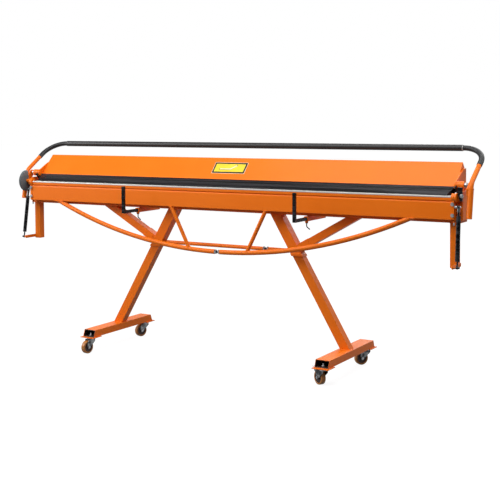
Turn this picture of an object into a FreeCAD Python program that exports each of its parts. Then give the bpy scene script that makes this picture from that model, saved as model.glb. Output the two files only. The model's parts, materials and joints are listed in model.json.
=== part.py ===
import math
import os

import FreeCAD
import Part
from FreeCAD import Vector as V

os.makedirs("parts", exist_ok=True)

# Sheet metal bending machine, millimetres. X runs along the jaw, the operator stands at -Y,
# Z is up and the floor is Z = 0. Both ends are alike, so most pieces are drawn at the right end.

# Overall sizes
WORK_HALF = 1330.0          # half of the clamping length
BEAM_SIDE = 36.0            # bending beam past the clamping length, each end
BEAM_HALF = WORK_HALF + BEAM_SIDE
UPPER_HALF = BEAM_HALF - 7.0
LOWER_HALF = BEAM_HALF + 34.0
BEYOND = LOWER_HALF + 200.0  # past everything at the right end
JAW_Z = 985.0               # height of the clamping plane
FOLD_Y = -70.0              # bending axis, in the clamping plane
WALL = 3.0                  # wall of the rectangular tubes
RUN = 0.05                  # radial running clearance of pins in bores
GAP = 0.3                   # gap between faces that turn or slide past each other
PIN_R = 8.0

# Castors
WHEEL_R = 37.5
WHEEL_W = 26.0
RIM_R = 28.0
HUB_R = 12.0
CASTOR_H = 91.0             # floor to the underside of the castor plate
CASTOR_TRAIL = 32.0
CROWN_LOW = CASTOR_H - 11.0
PLATE_T = 4.0
PLATE_HALF_X, PLATE_HALF_Y = 48.0, 41.0
AXLE_R = 4.0
SWIVEL_R = 5.0
FORK_T = 2.5
BRAKED = "front_right"
PEDAL_BACK, PEDAL_Z = 55.0, 75.0  # pedal pivot: behind the swivel axis, above the floor
PEDAL_PIN_R = 2.5

# Foot bars and legs
FOOT_X = 757.0
FOOT_HALF = 281.0           # half length of a foot bar at its top face
CASTOR_Y = FOOT_HALF - 9.0
FOOT_W, FOOT_H = 80.0, 40.0
FOOT_SLANT = 16.0
FOOT_LOW = CASTOR_H + PLATE_T
FOOT_TOP = FOOT_LOW + FOOT_H
LEG_W = 50.0
SLEEVE_W = LEG_W + 6.0
BAND_W = SLEEVE_W + 4.0      # band round the sleeve's lower end
LEG_Y = 15.0
BEAM_UNDER = JAW_Z - 138.0  # underside of the lower beam
LEG_TOP_X = FOOT_X - 417.0
SLEEVE_END_Z = BEAM_UNDER - 229.0
BRANCH_W = 42.0
BRANCH_TOP_X = FOOT_X + 51.0
BRANCH_LOW_Z = BEAM_UNDER - 199.0
TIE_R = 11.0
TIE_Z = BEAM_UNDER - 203.0
TIE_NUT_X = 266.0
JOINT_HALF = 17.0            # half the gap that each threaded joint bridges
THREAD_R = 6.0
NUT_R = 13.0

# Bending beam, its hinge and its truss
FACE_Y = FOLD_Y - 12.0
BACK_Y = FOLD_Y + 26.0
BEAM_BOTTOM = JAW_Z - 119.0
GROOVE_Z = JAW_Z - 26.0
LIP_TOP = JAW_Z - 8.0
EAR_R = 20.5
EAR_DROP = 8.0              # the ears' round tops are centred this far below the hinge axis
EAR_T = 14.0                # moving ear
FIX_X = BEAM_HALF + EAR_T + 1.0
FIX_T = 9.0                 # fixed ear
END_T = 12.0                # end plate
BOW_R = 13.5
BOW_Y = FACE_Y + 10.0
BOW_HALF = WORK_HALF - 180.0
BOW_DEPTH = 246.0
BOW_LOW_Z = BEAM_BOTTOM - BOW_DEPTH
BOW_STRUT_R = 11.0
BOW_STRUT_TOP, BOW_STRUT_LOW = 312.0, 190.0

# Gas springs
STRUT_R = 11.0
STRUT_X = FIX_X + FIX_T + 1.0 + STRUT_R
STRUT_TOP = (FOLD_Y - 5.0, JAW_Z - 54.0)
STRUT_LOW = (FOLD_Y - 46.0, JAW_Z - 350.0)
STRUT_LOW_X = STRUT_X + 6.0  # each spring leans out towards its lower stud
STRUT_EYE = 6.5             # half width of the lower eye
ROD_R = 4.0
STUD_R = 4.0
POST_X0, POST_X1 = BEAM_HALF - 22.0, BEAM_HALF + 18.0
POST_Y0, POST_Y1 = -38.0, 2.0
POST_END_Z = JAW_Z - 365.0

# Clamping beam and lever
UPPER_PIVOT = (80.0, JAW_Z + 20.0)
LEVER_PIVOT = (-5.0, JAW_Z + 49.0)
BOSS_R = 20.0
BOSS_END = LOWER_HALF + 8.0
DIAL_R, DIAL_T = 66.0, 12.0
DIAL_X = STRUT_X + STRUT_R + 3.0
ARM_X = DIAL_X + DIAL_T + 2.0
ARM_R = 14.5
LEVER_R = 12.5
TUBE_X = ARM_X + 20.0
TUBE_FOOT = (-65.0, JAW_Z - 112.0)
KNEE = (-32.0, JAW_Z + 63.0)
KNEE_R = 60.0
BAR_Y, BAR_Z = 218.0, JAW_Z + 228.0
BEND_R = 120.0
GRIP_R = 14.5
GRIP_FROM = 146.0           # bare tube between each knee and its grip
SLEEVE_R = 17.0
SLEEVE_HALF = TUBE_X - BEND_R - 7.0
TAB_T = 8.0                 # black plate outside each clamp bracket

# Sheet supports
SUP_X = 558.0
SUP_W = 17.0
SUP_Y = -204.0
SUP_Z = BEAM_UNDER - 14.0
SUP_TOP = JAW_Z - 3.0
SOCKET_Y0, SOCKET_Y1 = -72.0, 148.0
SOCKET_HALF = 12.5
LOCK_R = 4.0


def box(x0, x1, y0, y1, z0, z1):
    return Part.makeBox(x1 - x0, y1 - y0, z1 - z0, V(x0, y0, z0))


def rod(p, q, r):
    d = V(*q) - V(*p)
    return Part.makeCylinder(r, d.Length, V(*p), d)


def rod_x(x0, x1, at, r):
    """Round bar along X, at a point given in Y and Z."""
    return rod((x0, at[0], at[1]), (x1, at[0], at[1]), r)


def prism_x(points, x0, x1):
    """Solid with a profile in Y and Z, drawn out along X."""
    wire = Part.makePolygon([V(x0, y, z) for y, z in points + points[:1]])
    return Part.Face(wire).extrude(V(x1 - x0, 0, 0))


def prism_y(points, y0, y1):
    """Solid with a profile in X and Z, drawn out along Y."""
    wire = Part.makePolygon([V(x, y0, z) for x, z in points + points[:1]])
    return Part.Face(wire).extrude(V(0, y1 - y0, 0))


def over_jaw(*points):
    """Profile points given as Y and height above the clamping plane."""
    return [(y, JAW_Z + h) for y, h in points]


def hexagon(p, q, r):
    """Hexagonal nut or head between two points, r to the corners."""
    p, q = V(*p), V(*q)
    d = q - p
    pts = [V(r * math.cos(k * math.pi / 3), r * math.sin(k * math.pi / 3), 0) for k in range(7)]
    shape = Part.Face(Part.makePolygon(pts)).extrude(V(0, 0, d.Length))
    shape.Placement = FreeCAD.Placement(p, FreeCAD.Rotation(V(0, 0, 1), d))
    return shape


def hollow(p, q, width, depth, wall):
    """Outside and inside of a rectangular tube from p to q in an X-Z plane."""
    d = q - p
    side = V(d.z, 0, -d.x).normalize()
    solids = []
    for cut in (0.0, wall):
        a, b = side * (width / 2 - cut), V(0, depth / 2 - cut, 0)
        pts = [p + a + b, p - a + b, p - a - b, p + a - b, p + a + b]
        solids.append(Part.Face(Part.makePolygon(pts)).extrude(d))
    return solids[0], solids[1]


def rounded_path(points, radii):
    """Wire through points with an arc of the given radius at each inner corner."""
    pts = [V(*p) for p in points]
    edges, start = [], pts[0]
    for i, r in enumerate(radii, 1):
        a = (pts[i - 1] - pts[i]).normalize()
        b = (pts[i + 1] - pts[i]).normalize()
        half = a.getAngle(b) / 2
        t0, t1 = pts[i] + a * (r / math.tan(half)), pts[i] + b * (r / math.tan(half))
        centre = pts[i] + (a + b).normalize() * (r / math.sin(half))
        mid = centre + (pts[i] - centre).normalize() * r
        edges.append(Part.makeLine(start, t0))
        edges.append(Part.Arc(t0, mid, t1).toShape())
        start = t1
    edges.append(Part.makeLine(start, pts[-1]))
    return Part.Wire(edges)


def sweep(wire, r):
    first = wire.Edges[0]
    at = first.valueAt(first.FirstParameter)
    along = first.tangentAt(first.FirstParameter)
    return wire.makePipeShell([Part.Wire([Part.makeCircle(r, at, along)])], True, False)


def mirror(shape):
    return shape.mirror(V(0, 0, 0), V(1, 0, 0))


def largest(shape):
    return max(shape.Solids, key=lambda solid: solid.Volume)


def save(name, shape):
    shape.removeSplitter().exportStep("parts/" + name + ".step")


def pair(name, right):
    """Left and right versions of one piece, drawn at the right end."""
    save(name + "_right", right)
    save(name + "_left", mirror(right))


# Foot bar: open-ended tube with slanted ends, castor plates below, lower leg tube above
def leg_point(z):
    lean = (FOOT_X - LEG_TOP_X) / (BEAM_UNDER - FOOT_TOP)
    return V(FOOT_X - (z - FOOT_TOP) * lean, LEG_Y, z)


side_view = [(-FOOT_HALF - FOOT_SLANT, FOOT_LOW), (FOOT_HALF + FOOT_SLANT, FOOT_LOW),
             (FOOT_HALF, FOOT_TOP), (-FOOT_HALF, FOOT_TOP)]
foot = prism_x(side_view, FOOT_X - FOOT_W / 2, FOOT_X + FOOT_W / 2)
foot = foot.cut(box(FOOT_X - FOOT_W / 2 + WALL, FOOT_X + FOOT_W / 2 - WALL,
                    -2 * FOOT_HALF, 2 * FOOT_HALF, FOOT_LOW + WALL, FOOT_TOP - WALL))
for y in (-CASTOR_Y, CASTOR_Y):
    plate = box(FOOT_X - PLATE_HALF_X, FOOT_X + PLATE_HALF_X, y - PLATE_HALF_Y,
                y + PLATE_HALF_Y, CASTOR_H, FOOT_LOW)
    foot = foot.fuse(plate).cut(rod((FOOT_X, y, CASTOR_H - 1), (FOOT_X, y, FOOT_LOW + WALL + 1),
                                    SWIVEL_R))
outer, inner = hollow(leg_point(FOOT_TOP - LEG_W), leg_point(SLEEVE_END_Z + LEG_W),
                      LEG_W, LEG_W, WALL)
above_foot = box(0, 2 * FOOT_X, LEG_Y - LEG_W, LEG_Y + LEG_W, FOOT_TOP, JAW_Z)
pair("foot", foot.fuse(outer.cut(inner).common(above_foot)))

# Upper stand: leg sleeve and outward branch with its collar, both up to the lower beam
sleeve_outer, sleeve_inner = hollow(leg_point(SLEEVE_END_Z - SLEEVE_W),
                                    leg_point(BEAM_UNDER + SLEEVE_W),
                                    SLEEVE_W, SLEEVE_W, (SLEEVE_W - LEG_W) / 2)
end_band = hollow(leg_point(SLEEVE_END_Z - SLEEVE_W), leg_point(SLEEVE_END_Z + 2 * SLEEVE_W),
                  BAND_W, BAND_W, WALL)[0]
end_band = end_band.common(box(0, 2 * FOOT_X, LEG_Y - BAND_W, LEG_Y + BAND_W,
                               SLEEVE_END_Z, SLEEVE_END_Z + 14))
branch_low = leg_point(BRANCH_LOW_Z)
branch_run = V(BRANCH_TOP_X, LEG_Y, BEAM_UNDER) - branch_low
branch_outer, branch_inner = hollow(branch_low, branch_low + branch_run * 1.3,
                                    BRANCH_W, LEG_W, WALL)
collar_outer, collar_inner = hollow(branch_low + branch_run * 0.10,
                                    branch_low + branch_run * 0.26, BRANCH_W + 4, LEG_W + 4, 2)
branch = branch_outer.cut(branch_inner).fuse(collar_outer.cut(collar_inner)).cut(sleeve_outer)
under_beam = box(0, 2 * FOOT_X, LEG_Y - SLEEVE_W, LEG_Y + SLEEVE_W, SLEEVE_END_Z, BEAM_UNDER)
pair("leg", sleeve_outer.fuse([branch, end_band]).cut(sleeve_inner).common(under_beam))

# Straight tie between the two legs, with a threaded joint and its nuts
tie_end = leg_point(TIE_Z).x
tie = rod_x(-tie_end, tie_end, (LEG_Y, TIE_Z), TIE_R).cut(sleeve_outer)
tie = tie.cut(mirror(sleeve_outer))
tie = largest(tie)
tie = tie.cut(box(TIE_NUT_X - JOINT_HALF, TIE_NUT_X + JOINT_HALF, LEG_Y - 2 * TIE_R,
                  LEG_Y + 2 * TIE_R, TIE_Z - 2 * TIE_R, TIE_Z + 2 * TIE_R))
tie_thread = rod_x(TIE_NUT_X - 2 * JOINT_HALF, TIE_NUT_X + 2 * JOINT_HALF, (LEG_Y, TIE_Z),
                   THREAD_R)
save("tie_bar", tie.fuse(tie_thread))
save("tie_nuts", Part.Compound([
    hexagon((x, LEG_Y, TIE_Z), (x + 10, LEG_Y, TIE_Z), NUT_R).cut(tie_thread)
    for x in (TIE_NUT_X - JOINT_HALF, TIE_NUT_X + JOINT_HALF - 10)]))

# Lower beam: closed box section with a sloped front edge that carries the lower jaw
JAW_T = 8.0
JAW_UNDER = JAW_Z - JAW_T
JAW_HALF = BEAM_HALF - 6.0
section = [(-38, BEAM_UNDER), (60, BEAM_UNDER), (60, JAW_UNDER), (-38, JAW_UNDER)]
inside = [(-34, BEAM_UNDER + 4), (56, BEAM_UNDER + 4), (56, JAW_UNDER - 4), (-34, JAW_UNDER - 4)]
nose = over_jaw((-38, -JAW_T), (-66, -JAW_T), (-66, -11), (-38, -29))
beam = prism_x(section, -LOWER_HALF, LOWER_HALF).fuse(prism_x(nose, -JAW_HALF, JAW_HALF))
save("lower_beam", beam.cut(prism_x(inside, 6 - LOWER_HALF, LOWER_HALF - 6)))

# Lower jaw: ground steel strip on the front of the lower beam
JAW_BACK = 58.0
jaw = box(-JAW_HALF, JAW_HALF, FOLD_Y + 1.5, JAW_BACK, JAW_UNDER, JAW_Z)
jaw = jaw.makeChamfer(1.0, [e for e in jaw.Edges if abs(e.CenterOfMass.y - JAW_BACK) < 0.01
                            and e.CenterOfMass.z > JAW_Z - 0.1 and abs(e.CenterOfMass.x) < 1])
save("lower_jaw", jaw)

# End frame: side plate on the beam end with the fixed hinge ear and its pin
fold_axis = (FOLD_Y, JAW_Z)
ear_centre = (FOLD_Y, JAW_Z - EAR_DROP)
end_profile = over_jaw((-45, -124), (85, -124), (98, -25), (108, 15), (98, 41), (80, 48),
                       (62, 41), (48, 23), (-38, 21), (-45, 15))
end = prism_x(end_profile, LOWER_HALF, LOWER_HALF + END_T)
end = end.cut(rod_x(WORK_HALF, BEYOND, UPPER_PIVOT, PIN_R + RUN))
ear_low, ear_high = JAW_Z - EAR_DROP - EAR_R, JAW_Z - EAR_DROP + EAR_R
end = end.fuse([
    rod_x(FIX_X, FIX_X + FIX_T, ear_centre, EAR_R),
    box(FIX_X, FIX_X + FIX_T, FOLD_Y, -38, ear_low, ear_high),
    box(FIX_X, LOWER_HALF + END_T, -52, -38, ear_low, ear_high),
    rod_x(BEAM_HALF + 1, FIX_X + FIX_T, fold_axis, PIN_R)])
save("end_frame_right", end)
shaft = rod_x(-DIAL_X, -FIX_X - FIX_T, fold_axis, 12)
save("end_frame_left", mirror(end).fuse(shaft))

# Stop block: black block on the fixed ear of the right end, level with the blade's end
STOP_X = FIX_X + FIX_T + GAP
stop_view = [(STOP_X, JAW_Z + 44), (STOP_X + 24, JAW_Z + 41), (STOP_X + 24, JAW_Z - 24),
             (STOP_X + 13, JAW_Z - 29), (STOP_X + 7, JAW_Z - 10), (STOP_X, JAW_Z + 15)]
save("stop_block", prism_y(stop_view, FOLD_Y + 4, -52))

# Angle dial: domed disc on the left hinge shaft, cut away beside the lever's pivot
dial = Part.makeCylinder(DIAL_R, DIAL_T, V(-DIAL_X - DIAL_T, FOLD_Y, JAW_Z), V(1, 0, 0))
dial = dial.makeFillet(5, [e for e in dial.Edges if abs(e.CenterOfMass.x + DIAL_X) < 0.01
                           and abs(e.Length - 2 * math.pi * DIAL_R) < 0.01])
dial = dial.cut(box(-DIAL_X - DIAL_T - 1, 1 - DIAL_X, FOLD_Y + 13, FOLD_Y + 2 * DIAL_R,
                    JAW_Z - 8, JAW_Z + 2 * DIAL_R))
save("angle_dial", dial)

# Post under each end of the lower beam, with the gas spring's bracket and stud
post = box(POST_X0, POST_X1, POST_Y0, POST_Y1, POST_END_Z, BEAM_UNDER).cut(
    box(POST_X0 + WALL, POST_X1 - WALL, POST_Y0 + WALL, POST_Y1 - WALL,
        POST_END_Z - 1, BEAM_UNDER + 1))
bracket_x = POST_X1 + 5
post = post.fuse([
    box(POST_X1, bracket_x, STRUT_LOW[0] - 10, POST_Y1, STRUT_LOW[1] - 9, STRUT_LOW[1] + 9),
    rod_x(POST_X1 - 4, POST_X1, STRUT_LOW, 7),
    rod_x(bracket_x, STRUT_LOW_X - STRUT_EYE - GAP, STRUT_LOW, 6)])
pair("post", post)

# Socket for a sheet support: square tube under the lower beam, with a boss for its screw
slide = SUP_W / 2 + 0.1
bore = box(SUP_X - slide, SUP_X + slide, SOCKET_Y0 - 1, SOCKET_Y1 + 1, SUP_Z - slide, SUP_Z + slide)
under = SUP_Z - SOCKET_HALF
lock_at = (SUP_X, SOCKET_Y0 + 10)
socket = box(SUP_X - SOCKET_HALF, SUP_X + SOCKET_HALF, SOCKET_Y0, SOCKET_Y1,
             under, SUP_Z + SOCKET_HALF)
socket = socket.fuse([
    box(SUP_X - SOCKET_HALF, SUP_X + SOCKET_HALF, -30, 55, SUP_Z + SOCKET_HALF, BEAM_UNDER),
    rod((*lock_at, under - 8), (*lock_at, under), 9)])
socket = socket.cut(rod((*lock_at, under - 9), (*lock_at, SUP_Z), LOCK_R + RUN)).cut(bore)
pair("support_socket", socket)

# Sheet support: square bar bent to an L, sliding in the socket
HALF = SUP_W / 2
sup = box(SUP_X - HALF, SUP_X + HALF, SUP_Y - HALF, SOCKET_Y1 - 58, SUP_Z - HALF, SUP_Z + HALF)
sup = sup.fuse(box(SUP_X - HALF, SUP_X + HALF, SUP_Y - HALF, SUP_Y + HALF, SUP_Z - HALF, SUP_TOP))
sup = sup.removeSplitter()
sup = sup.makeFillet(6, [e for e in sup.Edges if abs(e.CenterOfMass.y - SUP_Y + HALF) < 0.01
                         and abs(e.CenterOfMass.z - SUP_Z + HALF) < 0.01])
pair("sheet_support", sup)

# Locking lever: screw with a cranked handle below the socket
top = SUP_Z - slide - 0.4
handle = rounded_path([(*lock_at, top), (*lock_at, top - 33),
                       (lock_at[0] + 19, lock_at[1], top - 48)], [7])
lock = sweep(handle, 3.0).fuse([
    rod((*lock_at, top), (*lock_at, under - 8 - GAP), LOCK_R),
    rod((*lock_at, under - 8 - GAP), (*lock_at, under - 12), 7)])
save("lock_lever_right", lock)
lock_left = lock.copy()
lock_left.translate(V(-2 * SUP_X, 0, 0))
save("lock_lever_left", lock_left)

# Bending beam: closed sheet section with a groove under its top lip
front = [(FACE_Y, BEAM_BOTTOM), (BACK_Y, BEAM_BOTTOM), (BACK_Y, JAW_Z - 40), (FOLD_Y, JAW_Z - 22),
         (FOLD_Y, LIP_TOP), (FACE_Y + 1, LIP_TOP), (FACE_Y + 1, GROOVE_Z + 2.5),
         (FACE_Y + 8, GROOVE_Z + 2.5), (FACE_Y + 8, GROOVE_Z - 2.5), (FACE_Y + 4, GROOVE_Z - 2.5),
         (FACE_Y + 1.5, GROOVE_Z - 5), (FACE_Y, GROOVE_Z - 9)]
void = [(FACE_Y + 4, BEAM_BOTTOM + 4), (BACK_Y - 4, BEAM_BOTTOM + 4), (BACK_Y - 4, JAW_Z - 44),
        (FACE_Y + 4, JAW_Z - 42)]
bend = prism_x(front, -BEAM_HALF, BEAM_HALF)
save("bending_beam", bend.cut(prism_x(void, 5 - BEAM_HALF, BEAM_HALF - 5)))

# Bending edge: bare steel bar bolted along the top of the bending beam
edge = box(4 - BEAM_HALF, BEAM_HALF - 4, FACE_Y, FOLD_Y, LIP_TOP, JAW_Z - 1)
edge = edge.makeChamfer(1.0, [e for e in edge.Edges if abs(e.CenterOfMass.x) < 1
                              and e.CenterOfMass.z > JAW_Z - 1.1
                              and e.CenterOfMass.y < FACE_Y + 0.1])
save("bending_edge", edge)

# Moving hinge ear: plate bolted on the end of the bending beam, with an adjusting boss below
EAR_FACE_Y = FACE_Y - 2
BOSS_AT = (BEAM_HALF + 8, FOLD_Y + 4)
ear = rod_x(BEAM_HALF, BEAM_HALF + EAR_T, ear_centre, EAR_R)
ear = ear.fuse([
    box(BEAM_HALF, BEAM_HALF + EAR_T, EAR_FACE_Y, -52, BEAM_BOTTOM + 4, JAW_Z - EAR_DROP),
    rod((*BOSS_AT, BEAM_BOTTOM - 14), (*BOSS_AT, BEAM_BOTTOM + 6), 5.5)])
pair("hinge_ear", ear.cut(rod_x(WORK_HALF, BEYOND, fold_axis, PIN_R + RUN)))

# Bolts of the hinge ears, and the studs that carry the gas springs' upper ends
bolts = []
for z in (JAW_Z - 41, JAW_Z - 96):
    x = BEAM_HALF + 6
    bolts.append(rod((x, EAR_FACE_Y - 2, z), (x, EAR_FACE_Y, z), 9.5).fuse(
        hexagon((x, EAR_FACE_Y - 8, z), (x, EAR_FACE_Y - 2, z), 8)))
bolts.append(rod((*BOSS_AT, BEAM_BOTTOM - 28), (*BOSS_AT, BEAM_BOTTOM - 14), 4))
bolts.append(rod_x(BEAM_HALF + EAR_T, STRUT_X + 12, STRUT_TOP, STUD_R).fuse(
    rod_x(BEAM_HALF + EAR_T, STRUT_X - 9, STRUT_TOP, 7)))
save("beam_bolts", Part.Compound(bolts + [mirror(bolt) for bolt in bolts]))

# Bow truss: bent tube under the bending beam, joined in the middle by a threaded rod with nuts
bow_radius = (BOW_HALF ** 2 + BOW_DEPTH ** 2) / (2 * BOW_DEPTH)
bow_middle = (BOW_Y, BOW_LOW_Z)


def bow_z(x):
    return BOW_LOW_Z + bow_radius - math.sqrt(bow_radius ** 2 - x ** 2)


span = BOW_HALF + 2 * BOW_R
arc = Part.Arc(V(-span, BOW_Y, bow_z(span)), V(0, BOW_Y, BOW_LOW_Z),
               V(span, BOW_Y, bow_z(span))).toShape()
whole_bow = sweep(Part.Wire([arc]), BOW_R)
bow = whole_bow.common(box(-BEYOND, BEYOND, 2 * BOW_Y, 0, 0, BEAM_BOTTOM))
bow = bow.cut(box(-JOINT_HALF, JOINT_HALF, BOW_Y - 2 * BOW_R, BOW_Y + 2 * BOW_R,
                  BOW_LOW_Z - 2 * BOW_R, BOW_LOW_Z + 2 * BOW_R))
bow_thread = rod_x(-2 * JOINT_HALF, 2 * JOINT_HALF, bow_middle, THREAD_R)
save("bow", bow.fuse(bow_thread))
save("bow_nuts", Part.Compound([
    hexagon((x, BOW_Y, BOW_LOW_Z), (x + 10, BOW_Y, BOW_LOW_Z), NUT_R).cut(bow_thread)
    for x in (-JOINT_HALF, JOINT_HALF - 10)]))

# Short diagonals between the bow and the bending beam
low_z = bow_z(BOW_STRUT_LOW)
diagonal = rod((BOW_STRUT_LOW, BOW_Y, low_z),
               (2 * BOW_STRUT_TOP - BOW_STRUT_LOW, BOW_Y, 2 * BEAM_BOTTOM - low_z), BOW_STRUT_R)
diagonal = diagonal.common(box(0, BEYOND, 2 * BOW_Y, 0, 0, BEAM_BOTTOM)).cut(whole_bow)
pair("bow_diagonal", largest(diagonal))

# Clamping beam: sloped cover plate over a closed box section
cover = over_jaw((3, 42), (113, 160), (140, 129), (140, 49), (50, 25), (14, 28))
cavity = over_jaw((12, 43), (112, 151), (135, 125), (135, 54), (50, 31), (18, 33))
upper = prism_x(cover, -UPPER_HALF, UPPER_HALF)
save("clamp_beam", upper.cut(prism_x(cavity, 5 - UPPER_HALF, UPPER_HALF - 5)))

# Clamping blade: black nose bar under the cover plate, its ends slanted
nose_y = FOLD_Y + 2
blade_profile = over_jaw((nose_y, 1), (nose_y, 2.5), (3, 42), (14, 28), (50, 25), (50, 14),
                         (5, 12), (-22, 1))
blade = prism_x(blade_profile, -UPPER_HALF, UPPER_HALF)
for s in (1, -1):
    tip = [V(s * WORK_HALF, nose_y - 7, 0), V(s * (UPPER_HALF + 1), 3, 0), V(s * BEYOND, 3, 0),
           V(s * BEYOND, nose_y - 7, 0)]
    blade = blade.cut(Part.Face(Part.makePolygon(tip + tip[:1])).extrude(V(0, 0, 2 * JAW_Z)))

# End bracket of the clamping beam: end plate, rear hinge pin and the lever's boss
WEB_T = 8.0
web_x = UPPER_HALF + WEB_T
web = over_jaw((-22, 41), (-24, 55), (-13, 67), (62, 107), (118, 127), (140, 127), (140, 51),
               (108, 23), (96, 5), (66, 5), (50, 15), (20, 18), (-1, 29))
bracket = prism_x(web, UPPER_HALF, web_x).fuse([
    rod_x(UPPER_HALF, BOSS_END, LEVER_PIVOT, BOSS_R),
    rod_x(web_x, LOWER_HALF - GAP, UPPER_PIVOT, 15),
    rod_x(web_x, LOWER_HALF + END_T + 2, UPPER_PIVOT, PIN_R)])
bracket = bracket.cut(rod_x(web_x + 6, BEYOND, LEVER_PIVOT, PIN_R + RUN))
bracket = bracket.cut(prism_x(blade_profile, WORK_HALF, UPPER_HALF))
pair("clamp_bracket", bracket)

# Black end plates of the blade, outside the brackets, from the boss down to the jaw
tab_profile = over_jaw((-44, 42), (-18, 50), (16, 33), (20, 4), (-6, 4), (-22, 24))
tab = prism_x(tab_profile, web_x, web_x + TAB_T)
tab = tab.cut(rod_x(web_x, BEYOND, LEVER_PIVOT, BOSS_R))
save("clamp_blade", Part.Compound([blade, tab, mirror(tab)]))

# Label plate: bare slanted plate on the sloped cover
upslope = V(0, 110, 118).normalize()
out = V(0, -118, 110).normalize()
centre = V(6, 3, JAW_Z + 42) + upslope * 84
corners = [centre + V(sx * 109, 0, 0) + upslope * (sz * 41)
           for sx, sz in ((-1, -1), (1, -1), (1, 1), (-1, 1))]
save("label_plate", Part.Face(Part.makePolygon(corners + corners[:1])).extrude(out))

# Lever arm: tube sleeved over the lever's lower leg, with a lug that carries the pivot pin
by, bz = LEVER_PIVOT
leg_up = V(0, KNEE[0] - TUBE_FOOT[0], KNEE[1] - TUBE_FOOT[1])
sleeve_top = V(TUBE_X, *TUBE_FOOT) + leg_up * 0.84
low = (TUBE_X, *TUBE_FOOT)
arm = rod(low, (sleeve_top.x, sleeve_top.y, sleeve_top.z), ARM_R)
lug_out = TUBE_X - LEVER_R - 0.5
lug = prism_x([(by - 44, bz - 50), (by - 16, bz - 46), (by + 14, bz - 9), (by + 9, bz + 14),
               (by - 10, bz + 14), (by - 40, bz - 14)], ARM_X, lug_out)
arm = arm.fuse([lug, rod_x(ARM_X, lug_out, LEVER_PIVOT, 17)])
pin_hole = rod_x(WORK_HALF, lug_out + 1, LEVER_PIVOT, PIN_R)
arm = arm.cut(rod(low, (TUBE_X, *KNEE), LEVER_R)).cut(pin_hole)
pair("lever_arm", arm)

# Lever pivot pins, each with a spacer and a hexagonal collar between the boss and the lug
nut_x = ARM_X - 11
bolt = rod_x(web_x + 8, lug_out, LEVER_PIVOT, PIN_R).fuse([
    hexagon((nut_x, by, bz), (ARM_X, by, bz), NUT_R),
    rod_x(BOSS_END + GAP, nut_x, LEVER_PIVOT, 14)])
save("lever_bolts", Part.Compound([bolt, mirror(bolt)]))

# Lever tube: one round tube bent to a wide U, its two legs bent again at the knees
path = [(TUBE_X, *TUBE_FOOT), (TUBE_X, *KNEE), (TUBE_X, BAR_Y, BAR_Z), (-TUBE_X, BAR_Y, BAR_Z),
        (-TUBE_X, *KNEE), (-TUBE_X, *TUBE_FOOT)]
whole_tube = sweep(rounded_path(path, [KNEE_R, BEND_R, BEND_R, KNEE_R]), LEVER_R)
save("lever_tube", whole_tube)

# Thin black grip round each bend, and the thick foam sleeve between them
upward = V(0, BAR_Y - KNEE[0], BAR_Z - KNEE[1]).normalize()
start = V(TUBE_X, *KNEE) + upward * GRIP_FROM
grip_path = rounded_path([(start.x, start.y, start.z), (TUBE_X, BAR_Y, BAR_Z),
                          (SLEEVE_HALF, BAR_Y, BAR_Z)], [BEND_R])
pair("lever_grip", largest(sweep(grip_path, GRIP_R).cut(whole_tube)))
bar_at = (BAR_Y, BAR_Z)
foam = rod_x(-SLEEVE_HALF, SLEEVE_HALF, bar_at, SLEEVE_R)
save("lever_sleeve", foam.cut(rod_x(-BEYOND, BEYOND, bar_at, LEVER_R)))

# Gas spring: cylinder hung from the stud of the bending beam
spring_down = V(STRUT_LOW_X, *STRUT_LOW) - V(STRUT_X, *STRUT_TOP)
spring_len = spring_down.Length
spring_down.normalize()


def on_strut(s, x=STRUT_X):
    p = V(x, *STRUT_TOP) + spring_down * s
    return (p.x, p.y, p.z)


CYL_END = spring_len - 29
body = rod(on_strut(44), on_strut(CYL_END), STRUT_R).fuse([
    rod(on_strut(8), on_strut(46), 6),
    Part.makeSphere(8.5, V(*on_strut(0))),
    rod(on_strut(0), on_strut(20), 7.5)])
body = body.cut(rod_x(WORK_HALF, BEYOND, STRUT_TOP, STUD_R + RUN))
body = body.cut(rod(on_strut(92), on_strut(CYL_END + 8), ROD_R + RUN))
pair("spring_cylinder", body)

# Gas spring rod: slides out of the cylinder, its eye beside the post's stud
eye = Part.makeSphere(8, V(*on_strut(spring_len)))
eye = eye.common(box(STRUT_LOW_X - STRUT_EYE, BEYOND, -300, 0, 0, JAW_Z))
piston = rod(on_strut(112), on_strut(spring_len - 5), ROD_R).fuse([
    eye, rod_x(STRUT_LOW_X + 3, STRUT_LOW_X + 12, STRUT_LOW, 5.5)])
pair("spring_rod", piston)

# Castors: bolt in the foot bar, swivel fork, tyre and hub. Each is drawn trailing along +X
# with its swivel axis at the origin, then turned to its heading.
CASTORS = {"front_left": (-FOOT_X, -CASTOR_Y, 262.0), "rear_left": (-FOOT_X, CASTOR_Y, 250.0),
           "front_right": (FOOT_X, -CASTOR_Y, 150.0), "rear_right": (FOOT_X, CASTOR_Y, 232.0)}
FORK_IN = WHEEL_W / 2 + 1.5
FORK_OUT = FORK_IN + FORK_T
AXLE = (CASTOR_TRAIL, WHEEL_R)


def wheel_disc(r, half_width, offset=0.0):
    return Part.makeCylinder(r, 2 * half_width, V(AXLE[0], offset - half_width, AXLE[1]),
                             V(0, 1, 0))


def placed(shape, name):
    cx, cy, heading = CASTORS[name]
    turn = FreeCAD.Placement(V(cx, cy, 0), FreeCAD.Rotation(V(0, 0, 1), heading))
    shape.Placement = turn.multiply(shape.Placement)
    return shape


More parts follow.
